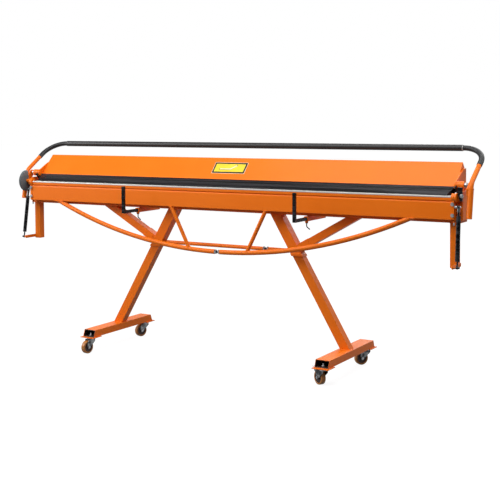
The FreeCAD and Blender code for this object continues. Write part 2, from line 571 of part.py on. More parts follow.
def fork(braked):
    crown_top = CASTOR_H - GAP
    legs = [(-18, CROWN_LOW + FORK_T), (30, CROWN_LOW + FORK_T), (44, 62),
            (AXLE[0] + 10, 37), (AXLE[0] + 5, 28), (AXLE[0] - 6, 28), (AXLE[0] - 12, 37), (-17, 68)]
    if braked:
        legs[2:3] = [(PEDAL_BACK + 7, PEDAL_Z + 5), (PEDAL_BACK + 5, PEDAL_Z - 5), (46, 60)]
    shape = Part.makeCylinder(24, 6, V(0, 0, crown_top - 6)).fuse([
        Part.makeCylinder(20, crown_top - CROWN_LOW, V(0, 0, CROWN_LOW)),
        box(-16, 30, -FORK_OUT, FORK_OUT, CROWN_LOW, CROWN_LOW + FORK_T),
        prism_y(legs, -FORK_OUT, -FORK_IN),
        prism_y(legs, FORK_IN, FORK_OUT),
        wheel_disc(AXLE_R, FORK_OUT + 5)])
    for s in (-1, 1):
        shape = shape.fuse(hexagon((AXLE[0], s * FORK_OUT, AXLE[1]),
                                   (AXLE[0], s * (FORK_OUT + 4), AXLE[1]), 7.5))
    if braked:
        shape = shape.fuse(rod((PEDAL_BACK, -FORK_IN, PEDAL_Z), (PEDAL_BACK, FORK_IN, PEDAL_Z),
                               PEDAL_PIN_R))
    return shape.cut(rod((0, 0, CROWN_LOW - 20), (0, 0, CASTOR_H + 9), SWIVEL_R + RUN))


def tyre():
    shape = wheel_disc(WHEEL_R, WHEEL_W / 2)
    rims = [e for e in shape.Edges if abs(e.Length - 2 * math.pi * WHEEL_R) < 1]
    return shape.makeFillet(4.0, rims).cut(wheel_disc(RIM_R, WHEEL_W))


def hub():
    shape = wheel_disc(RIM_R, WHEEL_W / 2 - 2).fuse(wheel_disc(HUB_R, WHEEL_W / 2 + 1))
    for s in (-1, 1):
        dish = wheel_disc(RIM_R - 4, 2.5, s * (WHEEL_W / 2 - 2)).cut(wheel_disc(HUB_R, WHEEL_W))
        shape = shape.cut(dish)
    return shape.cut(wheel_disc(AXLE_R + RUN, WHEEL_W))


castor_bolts = []
for name, (cx, cy, heading) in CASTORS.items():
    save("fork_" + name, placed(fork(name == BRAKED), name))
    save("tyre_" + name, placed(tyre(), name))
    save("hub_" + name, placed(hub(), name))
    castor_bolts.append(rod((cx, cy, CROWN_LOW - 2), (cx, cy, FOOT_LOW + WALL + 18), SWIVEL_R).fuse([
        rod((cx, cy, CROWN_LOW - 2), (cx, cy, CROWN_LOW - GAP), 8.5),
        hexagon((cx, cy, FOOT_LOW + WALL), (cx, cy, FOOT_LOW + WALL + 8), 9.5)]))
save("castor_bolts", Part.Compound(castor_bolts))

# Brake pedal of the front right castor
pedal_side = [(-4, 3), (5, 6), (25, 14), (27, 12), (6, 3), (2, -3), (-3, -3)]
pedal = prism_y([(PEDAL_BACK + x, PEDAL_Z + z) for x, z in pedal_side], 1 - FORK_IN, FORK_IN - 1)
pedal = pedal.fuse(rod((PEDAL_BACK, 1 - FORK_IN, PEDAL_Z), (PEDAL_BACK, FORK_IN - 1, PEDAL_Z), 5))
pedal = pedal.cut(rod((PEDAL_BACK, -FORK_OUT, PEDAL_Z), (PEDAL_BACK, FORK_OUT, PEDAL_Z),
                      PEDAL_PIN_R + RUN))
save("brake_pedal", placed(pedal, BRAKED))
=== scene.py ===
import json
import math

import bmesh
import bpy
from mathutils import Matrix, Vector


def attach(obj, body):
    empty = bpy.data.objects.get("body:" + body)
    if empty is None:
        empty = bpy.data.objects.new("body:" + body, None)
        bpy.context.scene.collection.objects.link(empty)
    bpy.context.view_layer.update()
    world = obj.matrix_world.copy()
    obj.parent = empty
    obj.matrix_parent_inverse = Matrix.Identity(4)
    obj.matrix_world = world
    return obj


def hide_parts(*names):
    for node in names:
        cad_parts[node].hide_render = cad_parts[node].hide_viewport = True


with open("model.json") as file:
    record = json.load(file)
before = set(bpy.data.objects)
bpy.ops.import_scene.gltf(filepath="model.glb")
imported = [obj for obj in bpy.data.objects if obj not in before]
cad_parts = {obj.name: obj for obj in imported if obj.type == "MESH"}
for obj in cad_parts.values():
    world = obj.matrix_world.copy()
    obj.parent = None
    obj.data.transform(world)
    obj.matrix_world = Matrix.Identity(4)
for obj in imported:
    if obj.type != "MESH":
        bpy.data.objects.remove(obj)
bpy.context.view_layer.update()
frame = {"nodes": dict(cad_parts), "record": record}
nodes = frame["nodes"]

# Studio: a white room with big soft lamps on the left, above and behind and a weaker one on
# the right, seen through a long lens from a standing person's height. Surfaces in front mirror
# a dim room, so that black parts stay black, and those that face up or back mirror white.


def hex_colour(text):
    """sRGB hex text to linear red, green, blue and alpha."""
    channels = [int(text[i:i + 2], 16) / 255 for i in (0, 2, 4)]
    return [c / 12.92 if c <= 0.04045 else ((c + 0.055) / 1.055) ** 2.4 for c in channels] + [1.0]


def add(tree, kind, settings=None, **links):
    """Adds a node. Settings go to its properties, links and numbers to its inputs by name."""
    node = tree.nodes.new(kind)
    for key, value in (settings or {}).items():
        setattr(node, key, value)
    for key, value in links.items():
        slot = node.inputs[int(key[1:])] if key[0] == "_" else node.inputs[key.replace("_", " ")]
        if isinstance(value, bpy.types.NodeSocket):
            tree.links.new(value, slot)
        else:
            slot.default_value = value
    return node


camera_at = Vector((3.0973, -5.0900, 1.4032))
camera_forward = Vector((-0.5291, 0.8471, -0.0502)).normalized()
camera_roll = math.radians(-0.45)
level_right = camera_forward.cross(Vector((0, 0, 1))).normalized()
level_up = level_right.cross(camera_forward)
camera_right = level_right * math.cos(camera_roll) + level_up * math.sin(camera_roll)
camera_up = level_up * math.cos(camera_roll) - level_right * math.sin(camera_roll)
lens = bpy.data.cameras.new("camera")
lens.sensor_width = 36
lens.lens = 75.51
lens.shift_x = 0.0775
lens.shift_y = -0.1682
lens.clip_end = 60
camera = bpy.data.objects.new("camera", lens)
turn = Matrix((camera_right, camera_up, -camera_forward)).transposed()
camera.matrix_world = Matrix.Translation(camera_at) @ turn.to_4x4()
bpy.context.scene.collection.objects.link(camera)
bpy.context.scene.camera = camera
bpy.context.scene.view_settings.view_transform = "Standard"

world = bpy.data.worlds.new("studio")
bpy.context.scene.world = world
world.use_nodes = True
tree = world.node_tree
tree.nodes.clear()
path = add(tree, "ShaderNodeLightPath")
seen = add(tree, "ShaderNodeMath", {"operation": "MAXIMUM"}, _0=path.outputs["Is Camera Ray"],
           _1=path.outputs["Is Transmission Ray"])
place = add(tree, "ShaderNodeTexCoord")
way = add(tree, "ShaderNodeSeparateXYZ", Vector=place.outputs["Generated"])
behind = add(tree, "ShaderNodeMapRange", Value=way.outputs["Y"], From_Min=-0.3, From_Max=0.5,
             To_Min=0.06, To_Max=1.0)
above = add(tree, "ShaderNodeMapRange", Value=way.outputs["Z"], From_Min=0.15, From_Max=0.65,
            To_Min=1.0, To_Max=0.30)
mirrored = add(tree, "ShaderNodeMath", {"operation": "MULTIPLY"}, _0=behind.outputs[0],
               _1=above.outputs[0])
seen_white = add(tree, "ShaderNodeBackground", Color=(1, 1, 1, 1), Strength=1.0)
in_gloss = add(tree, "ShaderNodeBackground", Color=(1, 1, 1, 1), Strength=mirrored.outputs[0])
room_light = add(tree, "ShaderNodeBackground", Color=hex_colour("F4F6FA"), Strength=0.04)
mixed = add(tree, "ShaderNodeMixShader", _0=path.outputs["Is Glossy Ray"],
            _1=room_light.outputs[0], _2=in_gloss.outputs[0])
mixed = add(tree, "ShaderNodeMixShader", _0=seen.outputs[0], _1=mixed.outputs[0],
            _2=seen_white.outputs[0])
add(tree, "ShaderNodeOutputWorld", Surface=mixed.outputs[0])

for name, place, aim, size, power in (
        ("key", (-3.4, -3.6, 4.5), (-0.6, 0, 0.8), 2.4, 100),
        ("side", (-4.6, -2.8, 2.6), (-0.6, 0, 0.9), 2.4, 145),
        ("fill", (3.8, 0.5, 3.4), (0.6, 0, 0.5), 2.0, 50),
        ("top", (0.6, -1.4, 4.0), (0.2, 0, 0.9), 4.0, 152),
        ("back", (0.3, 4.0, 3.6), (0.2, 0, 0.2), 3.4, 140)):
    lamp = bpy.data.lights.new(name, "AREA")
    lamp.size = size
    lamp.energy = power
    light = bpy.data.objects.new(name, lamp)
    light.location = place
    light.rotation_euler = (Vector(aim) - Vector(place)).to_track_quat("-Z", "Y").to_euler()
    bpy.context.scene.collection.objects.link(light)

# Floor: seamless white paper, matt and evenly lit, that runs on past the edge of the picture.
# It keeps only the soft shadow under the castors.


def new_material(name):
    """A material with an empty node tree."""
    material = bpy.data.materials.new(name)
    material.use_nodes = True
    material.node_tree.nodes.clear()
    return material, material.node_tree


def mesh_of(name, work):
    """Turns finished building geometry into a mesh."""
    mesh = bpy.data.meshes.new(name)
    work.to_mesh(mesh)
    work.free()
    return mesh


def mesh_object(name, mesh):
    """Puts a mesh into the scene as a piece."""
    piece = bpy.data.objects.new(name, mesh)
    bpy.context.scene.collection.objects.link(piece)
    return piece


paper, tree = new_material("seamless white paper")
path = add(tree, "ShaderNodeLightPath")
seen = add(tree, "ShaderNodeMath", {"operation": "MAXIMUM"}, _0=path.outputs["Is Camera Ray"],
           _1=path.outputs["Is Transmission Ray"])
seen = add(tree, "ShaderNodeMath", {"operation": "MULTIPLY_ADD"},
           _0=path.outputs["Is Glossy Ray"], _1=0.35, _2=seen.outputs[0])
place = add(tree, "ShaderNodeTexCoord")
reach = add(tree, "ShaderNodeVectorMath", {"operation": "LENGTH"}, _0=place.outputs["Object"])
level = add(tree, "ShaderNodeMapRange", Value=reach.outputs["Value"], From_Min=1.5,
            From_Max=6.0, To_Min=0.90, To_Max=1.0)
matt = add(tree, "ShaderNodeBsdfDiffuse", Color=hex_colour("6E6E6E"))
glow = add(tree, "ShaderNodeEmission", Color=(1, 1, 1, 1), Strength=level.outputs[0])
lit = add(tree, "ShaderNodeAddShader", _0=matt.outputs[0], _1=glow.outputs[0])
mixed = add(tree, "ShaderNodeMixShader", _0=seen.outputs[0], _1=matt.outputs[0],
            _2=lit.outputs[0])
add(tree, "ShaderNodeOutputMaterial", Surface=mixed.outputs[0])
ground = bmesh.new()
bmesh.ops.create_circle(ground, cap_ends=True, radius=40, segments=64)
floor = mesh_object("floor", mesh_of("floor", ground))
floor.data.materials.append(paper)

# Lower beam: a closed box of folded 4 mm sheet under the jaw, welded, then powder coated orange.
# The coat gives a satin skin with a fine orange peel and softens every bent edge.


def pattern(tree, scale, detail=None, stretch=None, kind="Noise"):
    """A texture with scale waves a metre, drawn out along the axes by the stretch."""
    place = add(tree, "ShaderNodeTexCoord").outputs["Object"]
    if stretch:
        place = add(tree, "ShaderNodeMapping", Vector=place, Scale=stretch).outputs[0]
    texture = add(tree, "ShaderNodeTex" + kind, Vector=place, Scale=scale)
    if detail is not None:
        texture.inputs["Detail"].default_value = detail
    return texture.outputs[0]


def surface(name, tones, drift, roughness, tone_span=None, gloss_span=(0.0, 1.0), gloss=None,
            bump=None, relief=None, **shine):
    """A material whose tone and gloss drift over the surface.

    drift, gloss and relief say which pattern each follows, the last two the drift if left out.
    roughness is one value or a range. bump is a strength and a depth in metres.
    """
    material, tree = new_material(name)
    wave = pattern(tree, **drift)
    blend = wave
    if tone_span:
        blend = add(tree, "ShaderNodeMapRange", Value=wave, From_Min=tone_span[0],
                    From_Max=tone_span[1]).outputs[0]
    dark, light = tones
    tint = add(tree, "ShaderNodeMix", {"data_type": "RGBA"}, _0=blend, _6=hex_colour(dark),
               _7=hex_colour(light))
    if isinstance(roughness, tuple):
        follows = pattern(tree, **gloss) if gloss else wave
        roughness = add(tree, "ShaderNodeMapRange", Value=follows, From_Min=gloss_span[0],
                        From_Max=gloss_span[1], To_Min=roughness[0],
                        To_Max=roughness[1]).outputs[0]
    if bump:
        height = pattern(tree, **relief) if relief else wave
        shine["Normal"] = add(tree, "ShaderNodeBump", Strength=bump[0], Distance=bump[1],
                              Height=height).outputs[0]
    skin = add(tree, "ShaderNodeBsdfPrincipled", Base_Color=tint.outputs[2],
               Roughness=roughness, **shine)
    add(tree, "ShaderNodeOutputMaterial", Surface=skin.outputs[0])
    return material


powder = surface("orange powder coat", ("EA6D02", "F27708"), {"scale": 5.0, "detail": 3.0},
                 (0.40, 0.52), bump=(0.16, 0.0003), relief={"scale": 500.0, "detail": 1.5},
                 Specular_IOR_Level=0.22, Coat_Weight=0.15, Coat_Roughness=0.22)
body_of = {node: body for body, members in frame["record"]["behaviour"]["bodies"].items()
           for node in members}


def finish_piece(piece, material, body):
    """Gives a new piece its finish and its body."""
    piece.data.materials.clear()
    piece.data.materials.append(material)
    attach(piece, body)
    return piece


def baked(piece):
    """Applies the piece's modifiers to its mesh."""
    shape = piece.evaluated_get(bpy.context.evaluated_depsgraph_get())
    mesh = bpy.data.meshes.new_from_object(shape)
    piece.modifiers.clear()
    piece.data = mesh
    return piece


def merged(node):
    """A copy of a node's mesh with its triangles joined into whole faces."""
    work = bmesh.new()
    work.from_mesh(nodes[node].data)
    bmesh.ops.remove_doubles(work, verts=work.verts, dist=1e-5)
    bmesh.ops.dissolve_limit(work, angle_limit=math.radians(0.8), verts=work.verts,
                             edges=work.edges)
    return work


def rounded(piece, width, segments=2):
    """Rounds the sharp edges of a piece and shades its flats evenly."""
    for face in piece.data.polygons:
        face.use_smooth = True
    edge = piece.modifiers.new("edge", "BEVEL")
    edge.width = width
    edge.segments = segments
    edge.limit_method = "ANGLE"
    edge.angle_limit = math.radians(32)
    edge.use_clamp_overlap = True
    even = piece.modifiers.new("even", "WEIGHTED_NORMAL")
    even.keep_sharp = True
    return baked(piece)


def softened(node, width, material, segments=2):
    """Stands for a node with the same shape and its sharp edges rounded to the given radius."""
    name = node + "_finished"
    piece = rounded(mesh_object(name, mesh_of(name, merged(node))), width, segments)
    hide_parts(node)
    return finish_piece(piece, material, body_of[node])


softened("lower_beam", 0.002, powder)

# Jaw strip: a bar of bare ground steel, 8 mm thick, that lies along the top of the lower beam.
# The grinding leaves fine lines along it, drawn coarse enough to show, and a bright, slightly
# milky reflection.
ground_steel = surface("ground steel", ("C9C8C6", "ECEAE6"),
                       {"scale": 1.0, "detail": 4.0, "stretch": (2, 900, 900)}, (0.26, 0.44),
                       gloss={"scale": 9.0, "detail": 2.0}, bump=(0.10, 0.0001), Metallic=0.85)
softened("lower_jaw", 0.0006, ground_steel)

# End frames and posts: 12 mm plates with a hinge ear and a rear pivot at both beam ends, and a
# square tube hanging below each for the gas spring. All are welded on before the coat.
for side in ("left", "right"):
    softened("end_frame_" + side, 0.0012, powder)
    softened("post_" + side, 0.0022, powder)

# Weld beads: MIG beads with a ripple every 3 mm, under the same coat as the plates they join.
# They show as a soft raised line round each joint.


def growing(name, sizes):
    """Starts a geometry node tree that turns a path or points into a finished mesh."""
    tree = bpy.data.node_groups.new(name, "GeometryNodeTree")
    tree.interface.new_socket("Path", in_out="INPUT", socket_type="NodeSocketGeometry")
    for size in sizes:
        tree.interface.new_socket(size, in_out="INPUT", socket_type="NodeSocketFloat")
    tree.interface.new_socket("Finish", in_out="INPUT", socket_type="NodeSocketMaterial")
    tree.interface.new_socket("Mesh", in_out="OUTPUT", socket_type="NodeSocketGeometry")
    given = tree.nodes.new("NodeGroupInput").outputs
    return tree, given


def close_tree(tree, given, shape):
    """Ends a tree with real geometry that wears the given finish."""
    whole = add(tree, "GeometryNodeRealizeInstances", Geometry=shape)
    dressed = add(tree, "GeometryNodeSetMaterial", Geometry=whole.outputs[0],
                  Material=given["Finish"])
    end = tree.nodes.new("NodeGroupOutput")
    tree.links.new(dressed.outputs[0], end.inputs[0])


def grown(name, tree, base, sizes, material, body):
    """Runs a tree on a base mesh and keeps the result as one plain piece."""
    piece = mesh_object(name, base)
    grow = piece.modifiers.new("grow", "NODES")
    grow.node_group = tree
    for item in tree.interface.items_tree:
        if item.in_out == "INPUT" and item.name in sizes:
            grow[item.identifier] = sizes[item.name]
        if item.name == "Finish":
            grow[item.identifier] = material
    return finish_piece(baked(piece), material, body)


def lines_mesh(name, paths, closed):
    """Loose edges along each path, given in millimetres."""
    points, edges = [], []
    for line in paths:
        first = len(points)
        points += [Vector(p) / 1000 for p in line]
        edges += [(first + i, first + i + 1) for i in range(len(line) - 1)]
        if closed:
            edges.append((first + len(line) - 1, first))
    mesh = bpy.data.meshes.new(name)
    mesh.from_pydata(points, edges, [])
    return mesh


def sine_along(tree, along, pitch):
    """A wave along a curve that repeats at each pitch."""
    turns = add(tree, "ShaderNodeMath", {"operation": "DIVIDE"}, _0=along.outputs["Length"],
                _1=pitch)
    angle = add(tree, "ShaderNodeMath", {"operation": "MULTIPLY"}, _0=turns.outputs[0],
                _1=math.tau)
    return add(tree, "ShaderNodeMath", {"operation": "SINE"}, _0=angle.outputs[0]).outputs[0]


bead_tree, given = growing("weld bead", ("Radius", "Ripple"))
curve = add(bead_tree, "GeometryNodeMeshToCurve", Mesh=given["Path"])
even = add(bead_tree, "GeometryNodeResampleCurve", {"mode": "LENGTH"}, Curve=curve.outputs[0],
           Length=0.001)
along = add(bead_tree, "GeometryNodeSplineParameter")
wave = sine_along(bead_tree, along, given["Ripple"])
swell = add(bead_tree, "ShaderNodeMath", {"operation": "MULTIPLY_ADD"}, _0=wave, _1=0.13,
            _2=1.0)
profile = add(bead_tree, "GeometryNodeCurvePrimitiveCircle", Resolution=7, Radius=given["Radius"])
bead = add(bead_tree, "GeometryNodeCurveToMesh", Curve=even.outputs[0],
           Profile_Curve=profile.outputs[0], Scale=swell.outputs[0], Fill_Caps=True)
smooth = add(bead_tree, "GeometryNodeSetShadeSmooth", Geometry=bead.outputs[0])
close_tree(bead_tree, given, smooth.outputs[0])


def weld(name, paths, body, radius=0.0022):
    """Lays a bead along each closed path."""
    base = lines_mesh(name, paths, True)
    return grown(name, bead_tree, base, {"Radius": radius, "Ripple": 0.003}, powder, body)


def level_frame(x0, x1, y0, y1, z):
    """The corners of a level rectangle."""
    return [(x0, y0, z), (x1, y0, z), (x1, y1, z), (x0, y1, z)]


beam_low = 847
weld("welds_posts", [level_frame(s * 1344, s * 1384, -38, 2, beam_low) for s in (-1, 1)],
     "frame")

# Legs and feet: 50 mm square tube from an 80 x 40 mm foot bar up into a 56 mm sleeve, with a
# flatter branch out to the beam, all mitred and welded. Stock tube has rounded corners. The
# open foot bars are uncoated inside, where the brown mill scale is darkened to near black as
# painted shade in the hollow.
mill_scale_and_hollow_shade = surface("mill scale with painted hollow shade", ("1C1310", "3A2318"), {"scale": 45.0, "detail": 5.0},
                     0.6)


def ellipse(centre, first, second, count=40):
    """Points round an ellipse with the two given half axes."""
    a, b, c = Vector(centre), Vector(first), Vector(second)
    return [a + b * math.cos(math.tau * i / count) + c * math.sin(math.tau * i / count)
            for i in range(count)]


foot_x = 0.757
inner_half, inner_low, inner_high = 0.0372, 0.0976, 0.1323
for side in ("left", "right"):
    foot = softened("foot_" + side, 0.0024, powder, 3)
    foot.data.materials.append(mill_scale_and_hollow_shade)
    # Faces inside the open foot bar get the mill scale colour, darkened to near black as painted
    # shade in the hollow.
    for face in foot.data.polygons:
        centre = face.center
        if abs(abs(centre.x) - foot_x) < inner_half and inner_low < centre.z < inner_high:
            face.material_index = 1
    softened("leg_" + side, 0.0026, powder, 3)
tie_y, tie_z = 15, 644
leg_welds = []
for s in (-1, 1):
    leg_welds.append(level_frame(s * 728, s * 786, -10, 40, 135))
    leg_welds.append(level_frame(s * 307.5, s * 372.5, -13, 43, beam_low))
    leg_welds.append(level_frame(s * 765.4, s * 850.6, -10, 40, beam_low))
    leg_welds.append([(s * 470.3, -10, 679.9), (s * 491.5, -10, 643.7), (s * 491.5, 40, 643.7),
                      (s * 470.3, 40, 679.9)])
    leg_welds.append(ellipse((s * 426.4, tie_y, tie_z), (0, 11.6, 0), (s * -6.4, 0, 11)))
weld("welds_legs", leg_welds, "frame")

# Tie between the legs: round bar in two lengths on a threaded rod. Two nuts lock the joint.
# The nuts' zinc plate is a pale, slightly cloudy grey beside the rod's dark, oily sheen.
thread_tree, given = growing("screw thread", ("Radius", "Pitch"))
curve = add(thread_tree, "GeometryNodeMeshToCurve", Mesh=given["Path"])
even = add(thread_tree, "GeometryNodeCurveToPoints", {"mode": "LENGTH"}, Curve=curve.outputs[0],
           Length=given["Pitch"])
ring = add(thread_tree, "GeometryNodeCurvePrimitiveCircle", Resolution=24, Radius=given["Radius"])
wire = add(thread_tree, "GeometryNodeCurvePrimitiveCircle", Resolution=4, Radius=0.0007)
ridge = add(thread_tree, "GeometryNodeCurveToMesh", Curve=ring.outputs[0],
            Profile_Curve=wire.outputs[0])
ridges = add(thread_tree, "GeometryNodeInstanceOnPoints", Points=even.outputs["Points"],
             Instance=ridge.outputs[0], Rotation=even.outputs["Rotation"])
close_tree(thread_tree, given, ridges.outputs[0])

zinc = surface("bright zinc plate", ("A9ADB2", "D2D4D6"), {"scale": 70.0, "detail": 4.0},
               (0.20, 0.42), bump=(0.10, 0.0002), Metallic=0.95)
rod_skin = surface("dark nitrided steel", ("2A2A2C", "46464A"), {"scale": 120.0, "detail": 2.0},
                   (0.16, 0.30), Metallic=0.9)


def bare_core(piece, x, y, z):
    """Leaves the threaded middle of a split tube unpainted, 34 mm long."""
    half_length, core_radius = 17.2, 7
    piece.data.materials.append(rod_skin)
    for face in piece.data.polygons:
        at = face.center * 1000
        if abs(at.x - x) < half_length and math.hypot(at.y - y, at.z - z) < core_radius:
            face.material_index = 1


bare_core(softened("tie_bar", 0.0012, powder), 266, tie_y, tie_z)
softened("tie_nuts", 0.0012, zinc)
base = lines_mesh("tie_thread", [[(259.8, tie_y, tie_z), (272.4, tie_y, tie_z)]], False)
grown("tie_thread", thread_tree, base, {"Radius": 0.006, "Pitch": 0.0015}, rod_skin, "frame")

# Castors: pressed forks in zinc plate, darkened to grey as painted shade and left bright at the
# ball race and the axle's nuts, a dark brown moulded hub and an amber polyurethane tyre with a
# soft inner glow. One bolt goes up through the plate into the open foot tube.
tyre_skin = surface("amber polyurethane", ("9A5C24", "C4843E"), {"scale": 60.0, "detail": 5.0},
                    (0.28, 0.50), bump=(0.12, 0.0004), Subsurface_Weight=0.12,
                    Subsurface_Scale=0.004)
hub_skin = surface("moulded brown nylon", ("2A140C", "40221A"), {"scale": 260.0, "detail": 3.0},
                   0.42, bump=(0.15, 0.0003))
# Zinc darkened to grey as painted shade, for the castor forks and the gas springs' top forks; a
# noise drifts the tone at random.
zinc_with_painted_shade = surface("zinc darkened as painted shade", ("3E4144", "A4A8AA"),
                    {"scale": 38.0, "detail": 4.0}, (0.16, 0.34), tone_span=(0.40, 0.62),
                    bump=(0.12, 0.0003), Metallic=0.95)
race_low, fork_half_width, castor_y = 0.084, 0.0172, 0.272
for corner, x, y, heading in (("front_left", -foot_x, -castor_y, 262),
                              ("rear_left", -foot_x, castor_y, 250),
                              ("front_right", foot_x, -castor_y, 150),
                              ("rear_right", foot_x, castor_y, 232)):
    fork = softened("fork_" + corner, 0.0007, zinc_with_painted_shade)
    fork.data.materials.append(zinc)
    across = Vector((-math.sin(math.radians(heading)), math.cos(math.radians(heading)), 0))
    # The ball race and the parts beside the wheel keep the bright zinc; the rest of the fork
    # wears the painted shade.
    for face in fork.data.polygons:
        aside = (face.center - Vector((x, y, 0))).dot(across)
        if face.center.z > race_low or abs(aside) > fork_half_width:
            face.material_index = 1
    softened("tyre_" + corner, 0.0015, tyre_skin)
    softened("hub_" + corner, 0.0008, hub_skin)
softened("castor_bolts", 0.0010, zinc)
softened("brake_pedal", 0.0008, zinc)

# Bending beam: a folded sheet section with a groove under its top lip, closed at both ends.
# Zinc plated bolts hold its bare ground steel edge and the two plates that it swings on.
softened("bending_beam", 0.0016, powder)
softened("bending_edge", 0.0005, ground_steel)
for side in ("left", "right"):
    softened("hinge_ear_" + side, 0.0015, powder)
softened("beam_bolts", 0.0010, zinc)

# Bow: 27 mm round tube bent to an arc, its ends mitred to the beam, split in the middle on a
# threaded rod that sets its pull. Two short diagonals brace it.
bow_y, bow_low = -72, 620
bare_core(softened("bow", 0.0010, powder), 0, bow_y, bow_low)
softened("bow_nuts", 0.0012, zinc)
for side in ("left", "right"):
    softened("bow_diagonal_" + side, 0.0006, powder)
base = lines_mesh("bow_thread", [[(-6.3, bow_y, bow_low), (6.3, bow_y, bow_low)]], False)
grown("bow_thread", thread_tree, base, {"Radius": 0.006, "Pitch": 0.0015}, rod_skin,
      "bending_beam")
tube_seam, fold_low = 13.6, 865.6
brace_seam, brace_x, brace_z = 11.2, 190, 626.4
brace_out, brace_up = 0.454, 0.891
bow_out, bow_up = 0.513, 0.858


def saddle(s):
    """The seam where a diagonal's end is fitted round the bow."""
    seam = []
    for i in range(40):
        a = math.tau * i / 40
        u, v = brace_seam * math.cos(a), brace_seam * math.sin(a)
        h = (math.sqrt(tube_seam ** 2 - v * v) + bow_out * u) / bow_up
        seam.append((s * (brace_x + brace_out * h + brace_up * u), v + bow_y,
                     brace_z + brace_up * h - brace_out * u))
    return seam


bow_welds = [ellipse((s * 1150, bow_y, fold_low), (33, 0, 0), (0, tube_seam, 0), 60)
             for s in (-1, 1)]
bow_welds += [ellipse((s * 312, bow_y, fold_low), (12.4, 0, 0), (0, 11.1, 0)) for s in (-1, 1)]
bow_welds += [saddle(s) for s in (-1, 1)]
weld("welds_bow", bow_welds, "bending_beam", 0.0018)

# Clamping beam: a sloped cover plate over a closed box of folded sheet, in the orange coat. It is
# welded between two plate brackets, whose bosses carry its rear pins and the lever.
softened("clamp_beam", 0.0022, powder, 3)
for side in ("left", "right"):
    softened("clamp_bracket_" + side, 0.0012, powder)
boss_welds = [ellipse((s * 1367.2, y, z), (0, r, 0), (0, 0, r), 48)
              for s in (-1, 1) for y, z, r in ((-5, 1034, 20.3), (80, 1005, 15.3))]
weld("welds_brackets", boss_welds, "clamp_beam", 0.0020)

# Clamping blade: a planed steel nose bar in black enamel, nearly black, with long grey streaks
# painted on as sheen where it catches the light. Its step holds the sheet along the fold.
# The lighter grey streaks drawn along the length are painted sheen on every black enamel part;
# the gloss follows the same streaks.
enamel_with_painted_sheen = surface("black enamel with painted sheen streaks", ("070709", "2B2D32"),
                 {"scale": 1.0, "detail": 5.0, "stretch": (1.2, 60, 60)}, (0.13, 0.40),
                 tone_span=(0.42, 0.66), gloss_span=(0.36, 0.62), bump=(0.08, 0.0004),
                 Specular_IOR_Level=0.25)
blade_section = [(-68, 986), (-68, 987.5), (-31, 1008.3), (-30.2, 1007.2), (-28.4, 1008.2),
                 (-28, 1009.9), (3, 1027), (14, 1013), (50, 1010), (50, 999), (5, 997),
                 (-22, 986)]
blade_end, nose_end, nose_y, mitre = 1359, 1330, -75, 0.385
tab_start = 1.3665


def prism(work, near, far):
    """Closes two rings of points into a solid shape with flat ends."""
    work.faces.new(near[::-1])
    work.faces.new(far)
    for i in range(len(near)):
        j = (i + 1) % len(near)
        work.faces.new((near[i], near[j], far[j], far[i]))
    bmesh.ops.recalc_face_normals(work, faces=work.faces)


work = bmesh.new()
prism(work, *[[work.verts.new(
    Vector((s * min(blade_end, nose_end + (y - nose_y) * mitre), y, z)) / 1000)
    for y, z in blade_section] for s in (-1, 1)])
tabs = merged("clamp_blade")
bmesh.ops.delete(tabs, geom=[v for v in tabs.verts if abs(v.co.x) < tab_start],
                 context="VERTS")
work.from_mesh(mesh_of("tabs", tabs))
blade = rounded(mesh_object("blade", mesh_of("blade", work)), 0.0007)
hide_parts("clamp_blade")
finish_piece(blade, enamel_with_painted_sheen, "clamp_beam")

# Stop block: a black enamelled block on the right end frame, nearly black against the orange
# plate. One zinc plated hexagon bolt holds it: a washer, a head and its turned crown.
softened("stop_block", 0.0020, enamel_with_painted_sheen)
bolt_tree, given = growing("hex bolt", ("Radius",))
points = add(bolt_tree, "GeometryNodeInputNamedAttribute", {"data_type": "FLOAT_VECTOR"},
             Name="axis")
aim = add(bolt_tree, "FunctionNodeAlignRotationToVector", {"axis": "Z"},
          Vector=points.outputs["Attribute"])
washer = add(bolt_tree, "GeometryNodeMeshCone", Vertices=32, Radius_Top=1.18,
             Radius_Bottom=1.28, Depth=0.22)
head = add(bolt_tree, "GeometryNodeMeshCylinder", Vertices=6, Radius=1.0, Depth=0.55)
head_up = add(bolt_tree, "GeometryNodeTransform", Geometry=head.outputs[0],
              Translation=(0, 0, 0.495))
crown = add(bolt_tree, "GeometryNodeMeshCone", Vertices=6, Radius_Top=0.84,
            Radius_Bottom=1.0, Depth=0.12)
crown_up = add(bolt_tree, "GeometryNodeTransform", Geometry=crown.outputs[0],
               Translation=(0, 0, 0.77))
parts = add(bolt_tree, "GeometryNodeJoinGeometry")
for piece in (washer, head_up, crown_up):
    bolt_tree.links.new(piece.outputs[0], parts.inputs[0])
heads = add(bolt_tree, "GeometryNodeInstanceOnPoints", Points=given["Path"],
            Instance=parts.outputs[0], Rotation=aim.outputs[0], Scale=given["Radius"])
close_tree(bolt_tree, given, heads.outputs[0])


def bolts(name, places, radius, body):
    """Hexagon heads on washers, each at a point in millimetres and facing along an axis."""
    mesh = bpy.data.meshes.new(name)
    mesh.from_pydata([Vector(at) / 1000 for at, axis in places], [], [])
    axes = mesh.attributes.new("axis", "FLOAT_VECTOR", "POINT")
    for i, (at, axis) in enumerate(places):
        axes.data[i].vector = axis
    return grown(name, bolt_tree, mesh, {"Radius": radius}, zinc, body)


bolts("stop_bolt", [((1413, -66, 985), (0, -1, 0))], 0.0085, "frame")

